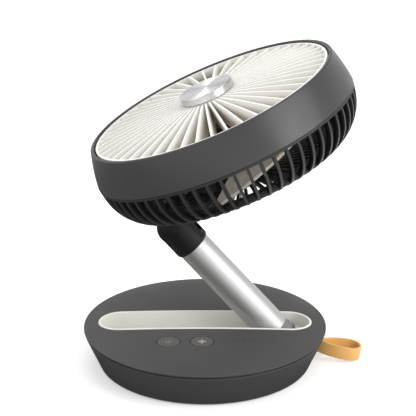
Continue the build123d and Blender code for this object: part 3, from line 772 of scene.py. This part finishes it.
class Plastic(Enum):
    """The fan's plastics."""

    SHELL = MouldedPlastic("shell_dark_grey", grey(0.044), 0.5, 0.28)
    COVER = MouldedPlastic("cover_grey", (0.068, 0.068, 0.067), 0.55, 0.25)
    SHROUD = MouldedPlastic("shroud_grey", grey(0.039), 0.38, 0.42)
    BUTTON = MouldedPlastic("button_grey", (0.092, 0.091, 0.089), 0.46)
    COLLAR = MouldedPlastic("collar_black", (0.007, 0.007, 0.0075), 0.45, 0.22)
    KNUCKLE = MouldedPlastic("knuckle_grey", (0.2, 0.2, 0.195), 0.5)
    MOUNT = MouldedPlastic("mount_black", grey(0.012), 0.45, 0.26)
    LINER = MouldedPlastic("liner_white", (0.78, 0.775, 0.72), 0.5, cloud=0.02)
    RUBBER = MouldedPlastic(
        "pad_rubber", grey(0.03), 0.75, grain=Grain(1500.0, 3.0, 0.6), relief=Relief(0.35, 0.08 * MM)
    )
    LEAD = MouldedPlastic("lead_black", grey(0.02), 0.6)
    WASHER = MouldedPlastic("washer_natural", (0.7, 0.68, 0.62), 0.5)
    WRAP = MouldedPlastic("cell_wrap", (0.06, 0.16, 0.36), 0.3)
    TRAY = MouldedPlastic("tray_black", grey(0.025), 0.5)
    LAMP = MouldedPlastic("lamp_smoked", grey(0.012), 0.4)
    PRINT = MouldedPlastic("print_grey", (0.3, 0.29, 0.27), 0.6)
    BRIGHT_PRINT = MouldedPlastic("print_light", (0.46, 0.405, 0.34), 0.6)


class Steel(Enum):
    """The fan's bare steels and iron."""

    PRESSED = PlainMetal("pressed_steel", grey(0.55), 0.4)
    BASE_SCREW = PlainMetal("base_screw_steel", grey(0.5), 0.35)
    BOARD_SCREW = PlainMetal("board_screw_steel", grey(0.5), 0.35)
    HEAD_SCREW = PlainMetal("head_screw_steel", grey(0.5), 0.35)
    PIN = PlainMetal("pin_steel", grey(0.5), 0.35)
    SOCKET = PlainMetal("socket_steel", grey(0.6), 0.25)
    CAN = PlainMetal("can_steel", grey(0.45), 0.35)
    CORE = PlainMetal("core_iron", (0.12, 0.1, 0.09), 0.5)


class Board(Enum):
    """The fan's circuit boards."""

    GREEN = CircuitBoard("board_green", (0.03, 0.16, 0.07), 0.35)
    BLACK = CircuitBoard("board_black", (0.012, 0.014, 0.013), 0.35)


@dataclass
class FanFrame:
    """Where the fan's sub-assemblies lie, in metres and degrees, in the frame that all share."""

    arm_angle: float = 48.3
    head_tilt: float = 23.1
    pivot: Point = (0.0571, 0.0, 0.019)
    arm_reach: float = 0.1189
    hinge_offset: float = 0.0618
    hinge_depth: float = 0.0797

    @property
    def hinge(self) -> Vector:
        """The head's tilt hinge."""
        turn = math.radians(self.arm_angle)
        return Vector(self.pivot) + self.arm_reach * Vector((-math.cos(turn), 0.0, math.sin(turn)))

    @property
    def head(self) -> Matrix:
        """The frame at the middle of the head's front rim, with Z along the fan's axis."""
        rotation = Matrix.Rotation(-math.radians(self.head_tilt), 4, "Y")
        offset = rotation @ Vector((self.hinge_offset, 0.0, self.hinge_depth))
        return Matrix.Translation(self.hinge + offset) @ rotation

    @property
    def arm(self) -> Matrix:
        """The frame at the arm's pivot, with Z along the tube."""
        rotation = Matrix.Rotation(math.radians(self.arm_angle - 90.0), 4, "Y")
        return Matrix.Translation(Vector(self.pivot)) @ rotation


class Bench:
    """Modelling by operators, one piece at a time."""

    @staticmethod
    def clear() -> None:
        """Deselects everything and leaves edit mode."""
        if bpy.context.object is not None and bpy.context.object.mode != "OBJECT":
            bpy.ops.object.mode_set(mode="OBJECT")
        bpy.ops.object.select_all(action="DESELECT")

    @staticmethod
    def only(piece: bpy.types.Object) -> None:
        """Selects one piece alone and makes it the active one.

        Args:
            piece: The piece.
        """
        Bench.clear()
        bpy.context.view_layer.objects.active = piece
        piece.select_set(True)

    @staticmethod
    def named(name: str) -> bpy.types.Object:
        """Names the piece that an operator has just added.

        Args:
            name: The piece's name.

        Returns:
            The piece.
        """
        piece = bpy.context.object
        piece.name = name
        piece.data.name = name
        return piece

    @staticmethod
    def apply_place() -> None:
        """Puts the selected piece's place into its mesh."""
        bpy.ops.object.transform_apply(location=True, rotation=True, scale=True)

    @staticmethod
    def circle(
        name: str, steps: int, radius: float, centre: Point, fill: str = "NOTHING"
    ) -> bpy.types.Object:
        """Adds a circle as a new piece and opens it in edit mode.

        Args:
            name: The piece's name.
            steps: The circle's corners.
            radius: Its radius.
            centre: Its middle.
            fill: The way its inside is filled.

        Returns:
            The piece.
        """
        Bench.clear()
        bpy.ops.mesh.primitive_circle_add(
            vertices=steps, radius=radius, fill_type=fill, location=centre
        )
        piece = Bench.named(name)
        Bench.apply_place()
        bpy.ops.object.mode_set(mode="EDIT")
        return piece

    @staticmethod
    def pick(piece: bpy.types.Object, chosen: Callable[[Vector], bool]) -> None:
        """Selects, in edit mode, the vertices at chosen places.

        Args:
            piece: The piece in edit mode.
            chosen: A test of a vertex's place.
        """
        bpy.ops.mesh.select_mode(type="VERT")
        bpy.ops.mesh.select_all(action="DESELECT")
        bpy.ops.object.mode_set(mode="OBJECT")
        for vertex in piece.data.vertices:
            vertex.select = chosen(vertex.co)
        bpy.ops.object.mode_set(mode="EDIT")

    @staticmethod
    def modify(piece: bpy.types.Object, kind: str, **settings: Any) -> None:
        """Adds a modifier and applies it.

        Args:
            piece: The piece.
            kind: The modifier's type.
            settings: Its properties.
        """
        modifier = piece.modifiers.new(kind.lower(), kind)
        for key, value in settings.items():
            setattr(modifier, key, value)
        Bench.only(piece)
        bpy.ops.object.modifier_apply(modifier=modifier.name)

    @staticmethod
    def place(piece: bpy.types.Object, frame: Matrix) -> None:
        """Moves a piece's mesh into a frame, and leaves its object at the origin.

        Args:
            piece: The piece.
            frame: The frame.
        """
        piece.matrix_world = frame
        Bench.only(piece)
        Bench.apply_place()

    @staticmethod
    def tidy(piece: bpy.types.Object, smooth_angle: float = 35.0) -> None:
        """Merges doubles, turns the faces outwards and smooths the shading.

        Args:
            piece: The piece.
            smooth_angle: Edges sharper than this stay sharp, in degrees.
        """
        Bench.only(piece)
        bpy.ops.object.mode_set(mode="EDIT")
        bpy.ops.mesh.select_all(action="SELECT")
        bpy.ops.mesh.remove_doubles(threshold=MERGE_DISTANCE)
        bpy.ops.mesh.normals_make_consistent(inside=False)
        bpy.ops.object.mode_set(mode="OBJECT")
        bpy.ops.object.shade_smooth_by_angle(angle=math.radians(smooth_angle))

    @staticmethod
    def dress(piece: bpy.types.Object, material: bpy.types.Material) -> None:
        """Gives a piece one material."""
        piece.data.materials.clear()
        piece.data.materials.append(material)


@dataclass
class CarryStrap:
    """The leather loop at the base's right side."""

    width: float = 10.0 * MM
    thickness: float = 1.8 * MM
    reach: float = 32.0 * MM
    loop_radius: float = 9.4 * MM
    tail: float = 11.0 * MM
    droop: float = 9.0
    root: Point = (0.086186, 0.0, 0.0116)
    bow_steps: int = 64
    side_steps: int = 16
    edge_radius: float = 0.4 * MM
    edge_steps: int = 3
    edge_angle: float = 50.0

    @property
    def centre(self) -> float:
        """How far the bow's middle lies from the shell."""
        return self.reach - self.loop_radius

    @property
    def bow_radius(self) -> float:
        """The bow's radius at half the leather's thickness."""
        return self.loop_radius - self.thickness / 2

    @property
    def side_radius(self) -> float:
        """The radius of the bowed sides at half the leather's thickness."""
        drop = self.loop_radius - self.thickness
        return (self.centre**2 + drop**2) / (2 * drop) - self.thickness / 2

    def build(self, material: bpy.types.Material) -> bpy.types.Object:
        """Models the strap: a bow from a circle, two sides drawn to the shell, then thickness.

        Args:
            material: The leather.

        Returns:
            The strap.
        """
        middle = (self.centre, 0.0, -self.width / 2)
        strap = Bench.circle("strap_leather_loop", self.bow_steps, self.bow_radius, middle)
        Bench.pick(strap, lambda place: place.x < self.centre - SAME_PLACE)
        bpy.ops.mesh.delete(type="VERT")
        for side in (1.0, -1.0):
            self._draw_side(strap, side)
        bpy.ops.mesh.select_all(action="SELECT")
        bpy.ops.mesh.extrude_region_move(TRANSFORM_OT_translate={"value": (0.0, 0.0, self.width)})
        bpy.ops.object.mode_set(mode="OBJECT")
        Bench.modify(strap, "SOLIDIFY", thickness=self.thickness, offset=0.0, use_even_offset=True)
        Bench.modify(
            strap, "BEVEL", width=self.edge_radius, segments=self.edge_steps,
            limit_method="ANGLE", angle_limit=math.radians(self.edge_angle),
        )
        rotation = Matrix.Rotation(math.radians(self.droop), 4, "Y")
        Bench.place(strap, Matrix.Translation(Vector(self.root)) @ rotation)
        Bench.tidy(strap)
        Bench.dress(strap, material)
        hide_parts("strap_loop")
        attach(strap, "base")
        return strap

    def _draw_side(self, strap: bpy.types.Object, side: float) -> None:
        """Draws one bowed side from the bow's end to the shell and on to the clamp.

        Args:
            strap: The strap in edit mode.
            side: One for the far side, minus one for the near side.
        """
        half_thick = self.thickness / 2
        last = Vector((self.centre, side * self.bow_radius, -self.width / 2))
        Bench.pick(strap, lambda place: (place - last).length < SAME_PLACE)
        whole = math.acos(1.0 - (self.bow_radius - half_thick) / self.side_radius)
        turns = [whole * step / self.side_steps for step in range(1, self.side_steps + 1)]
        stops = [self._side_stop(turn) for turn in turns]
        stops.append((-self.tail, half_thick))
        for x, y in stops:
            step = Vector((x, side * y, last.z)) - last
            bpy.ops.mesh.extrude_region_move(TRANSFORM_OT_translate={"value": tuple(step)})
            last = last + step

    def _side_stop(self, turn: float) -> tuple[float, float]:
        """Finds a point of a bowed side.

        Args:
            turn: How far the side has turned since the bow's end, in radians.

        Returns:
            The point's distance from the shell and from the strap's middle plane.
        """
        outwards = self.centre - self.side_radius * math.sin(turn)
        sideways = self.bow_radius - self.side_radius * (1.0 - math.cos(turn))
        return outwards, sideways


@dataclass
class ButtonSign:
    """A light printed sign on one of the buttons, drawn flat and laid on the button's face."""

    button: str
    middle: tuple[float, float]
    radius: float = 2.2 * MM
    line: float = 0.5 * MM
    height: float = 40.0 * MM
    ink: Plastic = Plastic.PRINT
    ink_depth: float = 0.04 * MM

    @property
    def centre(self) -> Point:
        """The sign's middle, above the button."""
        return (*self.middle, self.height)

    def draw(self) -> bpy.types.Object:
        """Draws the flat sign."""
        raise NotImplementedError

    def build(self, button: bpy.types.Object) -> bpy.types.Object:
        """Draws the sign and lays it on its button.

        Args:
            button: The button's solid.

        Returns:
            The sign.
        """
        sign = self.draw()
        bpy.ops.object.mode_set(mode="OBJECT")
        Bench.modify(
            sign, "SHRINKWRAP", target=button, wrap_method="PROJECT", use_project_z=True,
            use_negative_direction=True, use_positive_direction=False, offset=self.ink_depth / 2,
        )
        Bench.modify(sign, "SOLIDIFY", thickness=self.ink_depth, offset=1.0)
        Bench.tidy(sign)
        Bench.dress(sign, self.ink.value.material())
        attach(sign, self.button)
        return sign


@dataclass
class PowerSign(ButtonSign):
    """A ring that is open at the top, with a bar in the opening."""

    gap: float = 38.0
    steps: int = 48
    bar_place: float = 0.62
    bar_length: float = 0.95

    def draw(self) -> bpy.types.Object:
        """Draws the ring from a circle and adds the bar.

        Returns:
            The flat sign, in edit mode.
        """
        sign = Bench.circle("power_sign", self.steps, self.radius, self.centre)
        edge = self.radius * math.cos(math.radians(self.gap))
        Bench.pick(sign, lambda place: place.y - self.middle[1] > edge)
        bpy.ops.mesh.delete(type="VERT")
        bpy.ops.mesh.select_all(action="SELECT")
        bpy.ops.mesh.extrude_region_move()
        inner = 1.0 - self.line / self.radius
        bpy.ops.transform.resize(value=(inner, inner, 1.0), center_override=self.centre)
        top = (self.middle[0], self.middle[1] + self.radius * self.bar_place, self.height)
        longer = self.bar_length * self.radius / self.line
        bpy.ops.mesh.select_all(action="DESELECT")
        bpy.ops.mesh.primitive_plane_add(size=self.line, location=top)
        bpy.ops.transform.resize(value=(1.0, longer, 1.0), center_override=top)
        return sign


@dataclass
class FanSign(ButtonSign):
    """A small airscrew of four blades round a dot, whose sizes are shares of the sign's radius."""

    blades: int = 4
    steps: int = 20
    blade_place: float = 0.6
    blade_radius: float = 0.42
    blade_narrowing: float = 0.66
    blade_turn: float = 28.0
    dot_radius: float = 0.13

    def draw(self) -> bpy.types.Object:
        """Draws one blade, turns copies of it round the middle and adds the dot.

        Returns:
            The flat sign, in edit mode.
        """
        middle = (self.middle[0] + self.radius * self.blade_place, self.middle[1], self.height)
        radius = self.radius * self.blade_radius
        sign = Bench.circle("airflow_sign", self.steps, radius, middle, "NGON")
        bpy.ops.mesh.select_all(action="SELECT")
        bpy.ops.transform.resize(value=(1.0, self.blade_narrowing, 1.0), center_override=middle)
        bpy.ops.transform.rotate(
            value=math.radians(self.blade_turn), orient_axis="Z", center_override=middle
        )
        bpy.ops.mesh.spin(
            steps=self.blades - 1, dupli=True, angle=math.tau * (self.blades - 1) / self.blades,
            center=self.centre, axis=(0.0, 0.0, 1.0),
        )
        bpy.ops.mesh.select_all(action="DESELECT")
        bpy.ops.mesh.primitive_circle_add(
            vertices=self.steps, radius=self.radius * self.dot_radius, fill_type="NGON",
            location=self.centre,
        )
        return sign


Outfit = Iterable[tuple[Finish, tuple[str, ...]]]


class Unit:
    """A sub-assembly whose parts come from the solids."""

    def finishes(self) -> Outfit:
        """Lists each finish with the parts that wear it."""
        raise NotImplementedError

    def dress(self, nodes: Nodes) -> None:
        """Puts the finishes on the parts.

        Args:
            nodes: The fan's parts by name.
        """
        for finish, names in self.finishes():
            material = finish.material()
            for name in names:
                Bench.dress(nodes[name], material)
                LOG.info("part %s wears %s", name, finish.name)


@dataclass
class BaseUnit(Unit):
    """The round base: shells, slot liner, pad, buttons and their signs, and the carrying strap."""

    strap: CarryStrap = field(default_factory=CarryStrap)
    tan: Colour = (0.76, 0.425, 0.127)
    tan_roughness: float = 0.5
    power_middle: tuple[float, float] = (-26.7 * MM, -39.0 * MM)
    speed_middle: tuple[float, float] = (-2.1 * MM, -39.0 * MM)
    speed_radius: float = 3.1 * MM

    @property
    def signs(self) -> tuple[ButtonSign, ...]:
        """The printed signs on the buttons."""
        ink = Plastic.BRIGHT_PRINT
        return (
            PowerSign("power_button", self.power_middle),
            FanSign("speed_button", self.speed_middle, self.speed_radius, ink=ink),
        )

    def finishes(self) -> Outfit:
        """Lists each finish with the parts that wear it."""
        return (
            (Plastic.SHELL.value, ("base_lower_shell",)),
            (Plastic.COVER.value, ("base_top_cover",)),
            (Plastic.BUTTON.value, ("power_button", "speed_button")),
            (Plastic.LINER.value, ("slot_liner",)),
            (Plastic.RUBBER.value, ("foot_pad",)),
            (Steel.PRESSED.value, ("pivot_brackets", "strap_clamp")),
            (Steel.BASE_SCREW.value, ("base_screws",)),
        )

    def add(self, nodes: Nodes) -> None:
        """Models the strap and the signs.

        Args:
            nodes: The fan's parts by name.
        """
        leather = SmoothLeather("strap_tan_leather", self.tan, self.tan_roughness)
        LOG.info("piece %s", self.strap.build(leather.material()).name)
        for sign in self.signs:
            LOG.info("piece %s", sign.build(nodes[sign.button]).name)


@dataclass
class PowerUnit(Unit):
    """What is inside the base: cells, boards, switches, lamps and the charging socket."""

    def finishes(self) -> Outfit:
        """Lists each finish with the parts that wear it."""
        return (
            (Plastic.WRAP.value, ("battery_cells",)),
            (Plastic.TRAY.value, ("battery_tray", "button_switches")),
            (Plastic.LAMP.value, ("status_leds", "light_pipes")),
            (Board.GREEN.value, ("control_board", "charge_board")),
            (Steel.BOARD_SCREW.value, ("board_screws",)),
            (Steel.SOCKET.value, ("charge_socket",)),
        )


@dataclass
class ArmUnit(Unit):
    """The folding arm: tube, knuckle, collar, pins and lead."""

    frame: FanFrame = field(default_factory=FanFrame)
    silver: Colour = grey(0.6)
    silver_roughness: float = 0.52

    def finishes(self) -> Outfit:
        """Lists each finish with the parts that wear it."""
        axis = Axis.of(self.frame.arm)
        tube = BrushedMetal("tube_brushed_metal", self.silver, self.silver_roughness, axis)
        return (
            (tube, ("arm_tube",)),
            (Plastic.COLLAR.value, ("arm_collar", "tilt_pin_caps")),
            (Plastic.KNUCKLE.value, ("arm_foot",)),
            (Plastic.LEAD.value, ("arm_lead",)),
            (Plastic.WASHER.value, ("pivot_washers", "tilt_washers")),
            (Steel.PIN.value, ("pivot_pin", "pivot_nut", "tilt_pin")),
        )


@dataclass
class HeadUnit(Unit):
    """The head: shroud, grilles, hub cap, neck, motor and blades."""

    frame: FanFrame = field(default_factory=FanFrame)
    silver: Colour = grey(1.0)
    white: Colour = (0.93, 0.915, 0.875)
    # Painted shade: the blades' white plastic, darkened to a warm grey for the dark inside of the
    # head.
    blade_white_in_shade: Colour = (0.55, 0.51, 0.45)
    dark_grey: Colour = grey(0.024)

    def finishes(self) -> Outfit:
        """Lists each finish with the parts that wear it.

        Returns:
            The finishes with their parts.
        """
        axis = Axis.of(self.frame.head)
        hub = SpunMetal("hub_spun_metal", self.silver, 0.3, axis)
        vanes = VanePlastic("vane_warm_white", self.white, 0.5, cloud=0.012, axis=axis)
        # The blades wear their white darkened to warm grey, as painted shade.
        blades = RotorPlastic("blade_white_painted_shade", self.blade_white_in_shade, 0.45, cloud=0.02, axis=axis)
        ribs = RibPlastic("basket_grey", self.dark_grey, 0.45, 0.26, axis=axis)
        screws = ("neck_screws", "head_screws", "motor_screws")
        turned = ("blade_nut", "motor_shaft", "motor_bearings")
        return (
            (hub, ("hub_cap",)),
            (Plastic.SHROUD.value, ("front_shroud",)),
            (vanes, ("front_grille",)),
            (ribs, ("rear_grille",)),
            (Plastic.MOUNT.value, ("motor_mount", "neck_bracket")),
            (blades, ("fan_blades",)),
            (Steel.HEAD_SCREW.value, screws + turned),
            (Steel.CORE.value, ("motor_stator", "rotor_magnet")),
            (Steel.CAN.value, ("rotor_can",)),
            (Board.BLACK.value, ("motor_board",)),
        )


@dataclass(frozen=True)
class Softbox:
    """A square lamp that faces a point."""

    name: str
    spot: Point
    target: Point
    size: float
    power: float

    def hang(self) -> None:
        """Adds the lamp to the scene."""
        data = bpy.data.lights.new(self.name, "AREA")
        data.size = self.size
        data.energy = self.power
        lamp = bpy.data.objects.new(self.name, data)
        lamp.location = self.spot
        aim = Vector(self.target) - Vector(self.spot)
        lamp.rotation_euler = aim.to_track_quat("-Z", "Y").to_euler()
        bpy.context.scene.collection.objects.link(lamp)


@dataclass(frozen=True)
class StudioPaper:
    """Matt paper for the studio, between two shades."""

    weave: Grain
    darkest: float
    lightest: float
    roughness: float = 0.9

    def cover(self, sheet: bpy.types.Object, paint: Paint, glow: Any) -> None:
        """Covers a sheet of the studio.

        Args:
            sheet: The sheet.
            paint: The tree of its material.
            glow: The colour of its own light.
        """
        stops = [(0.0, grey(self.darkest)), (1.0, grey(self.lightest))]
        shade = paint.ramp(paint.noise(paint.place(), self.weave), stops)
        material = paint.close(
            Base_Color=shade, Roughness=self.roughness, Emission_Color=glow, Emission_Strength=1.0
        )
        sheet.data.materials.append(material)


@dataclass(frozen=True)
class ReflectionCard:
    """A card that only reflections see, as a photographer sets round metal."""

    name: str
    spot: Point
    width: float
    length: float
    lean: float
    shade: float
    glow: float = 0.0
    weave: Grain = Grain(300.0)
    darker: float = 0.87
    lighter: float = 1.15

    def stand(self) -> None:
        """Adds the card to the scene."""
        Bench.clear()
        turn = (math.radians(self.lean), 0.0, 0.0)
        bpy.ops.mesh.primitive_plane_add(size=1.0, location=self.spot, rotation=turn)
        card = Bench.named(self.name)
        card.scale = (self.width, self.length, 1.0)
        paper = StudioPaper(self.weave, self.shade * self.darker, self.shade * self.lighter)
        paper.cover(card, Paint.of(self.name), grey(self.glow))
        card.visible_camera = False
        card.visible_diffuse = False
        card.visible_shadow = False
        card.visible_transmission = False


@dataclass
class Studio:
    """The floor, the lamps and the camera."""

    eye: Point = (0.002285, -1.1768, 0.5467)
    pitch: float = 19.85
    lens: float = 147.4
    sensor_width: float = 36.0
    floor_size: float = 6.0
    floor_glow: float = 0.3
    floor_paper: StudioPaper = StudioPaper(Grain(40.0), 0.83, 0.85)
    ambient: float = 1.0
    wall_top: float = 0.05
    wall_light: float = 1.0
    ceiling: float = 0.65
    ceiling_light: float = 0.35
    lamps: tuple[Softbox, ...] = (
        Softbox("key_lamp", (0.95, -0.58, 0.74), (0.0, 0.0, 0.14), 0.8, 10.0),
        Softbox("fill_lamp", (-1.1, -0.5, 0.7), (0.0, 0.0, 0.12), 0.9, 3.0),
        Softbox("top_lamp", (0.0, 0.25, 1.3), (0.0, 0.0, 0.1), 0.9, 3.0),
    )
    cards: tuple[ReflectionCard, ...] = (
        ReflectionCard("dark_card", (-0.55, -0.4, 0.002), 1.3, 1.6, 0.0, 0.105),
        ReflectionCard("pale_card", (-0.36, 0.64, 0.72), 0.14, 0.3, 123.0, 0.8, 3.2),
    )

    def build(self) -> None:
        """Sets the whole studio."""
        bpy.context.scene.view_settings.view_transform = "Standard"
        self._camera()
        self._floor()
        self._world()
        for card in self.cards:
            card.stand()
        for lamp in self.lamps:
            lamp.hang()

    def _camera(self) -> None:
        """Sets the camera at the photograph's angle."""
        data = bpy.data.cameras.new("camera")
        data.lens = self.lens
        data.sensor_width = self.sensor_width
        camera = bpy.data.objects.new("camera", data)
        camera.location = self.eye
        camera.rotation_euler = (math.radians(90.0 - self.pitch), 0.0, 0.0)
        bpy.context.scene.collection.objects.link(camera)
        bpy.context.scene.camera = camera

    def _floor(self) -> None:
        """Lays a pale floor that shows white but keeps the fan's shadow."""
        Bench.clear()
        bpy.ops.mesh.primitive_plane_add(size=self.floor_size, location=(0.0, 0.0, 0.0))
        floor = Bench.named("studio_floor")
        paint = Paint.of("studio_floor")
        glow = paint.mix(paint.seen(), grey(0.0), grey(self.floor_glow))
        self.floor_paper.cover(floor, paint, glow)

    def _world(self) -> None:
        """Lights evenly from all round, and shows white behind the fan, less so overhead."""
        world = bpy.data.worlds.new("studio_world")
        bpy.context.scene.world = world
        paint = Paint(world)
        height = paint.part(paint.node("ShaderNodeTexCoord", {}, {}, "Generated"), "Z")
        backdrop = paint.fade(
            height, self.wall_top, self.ceiling, self.wall_light, self.ceiling_light
        )
        strength = paint.seen() * (backdrop - self.ambient) + self.ambient
        light = {"Color": (*grey(1.0), 1.0), "Strength": strength}
        paint.end("ShaderNodeOutputWorld", paint.node("ShaderNodeBackground", {}, light))


def main() -> None:
    """Loads the solids, dresses them and sets the studio."""
    logging.basicConfig(level=logging.INFO, format="%(message)s")
    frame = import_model()
    nodes = frame["nodes"]
    base = BaseUnit()
    for unit in (base, PowerUnit(), ArmUnit(), HeadUnit()):
        unit.dress(nodes)
    base.add(nodes)
    Studio().build()


if __name__ == "__main__":
    main()
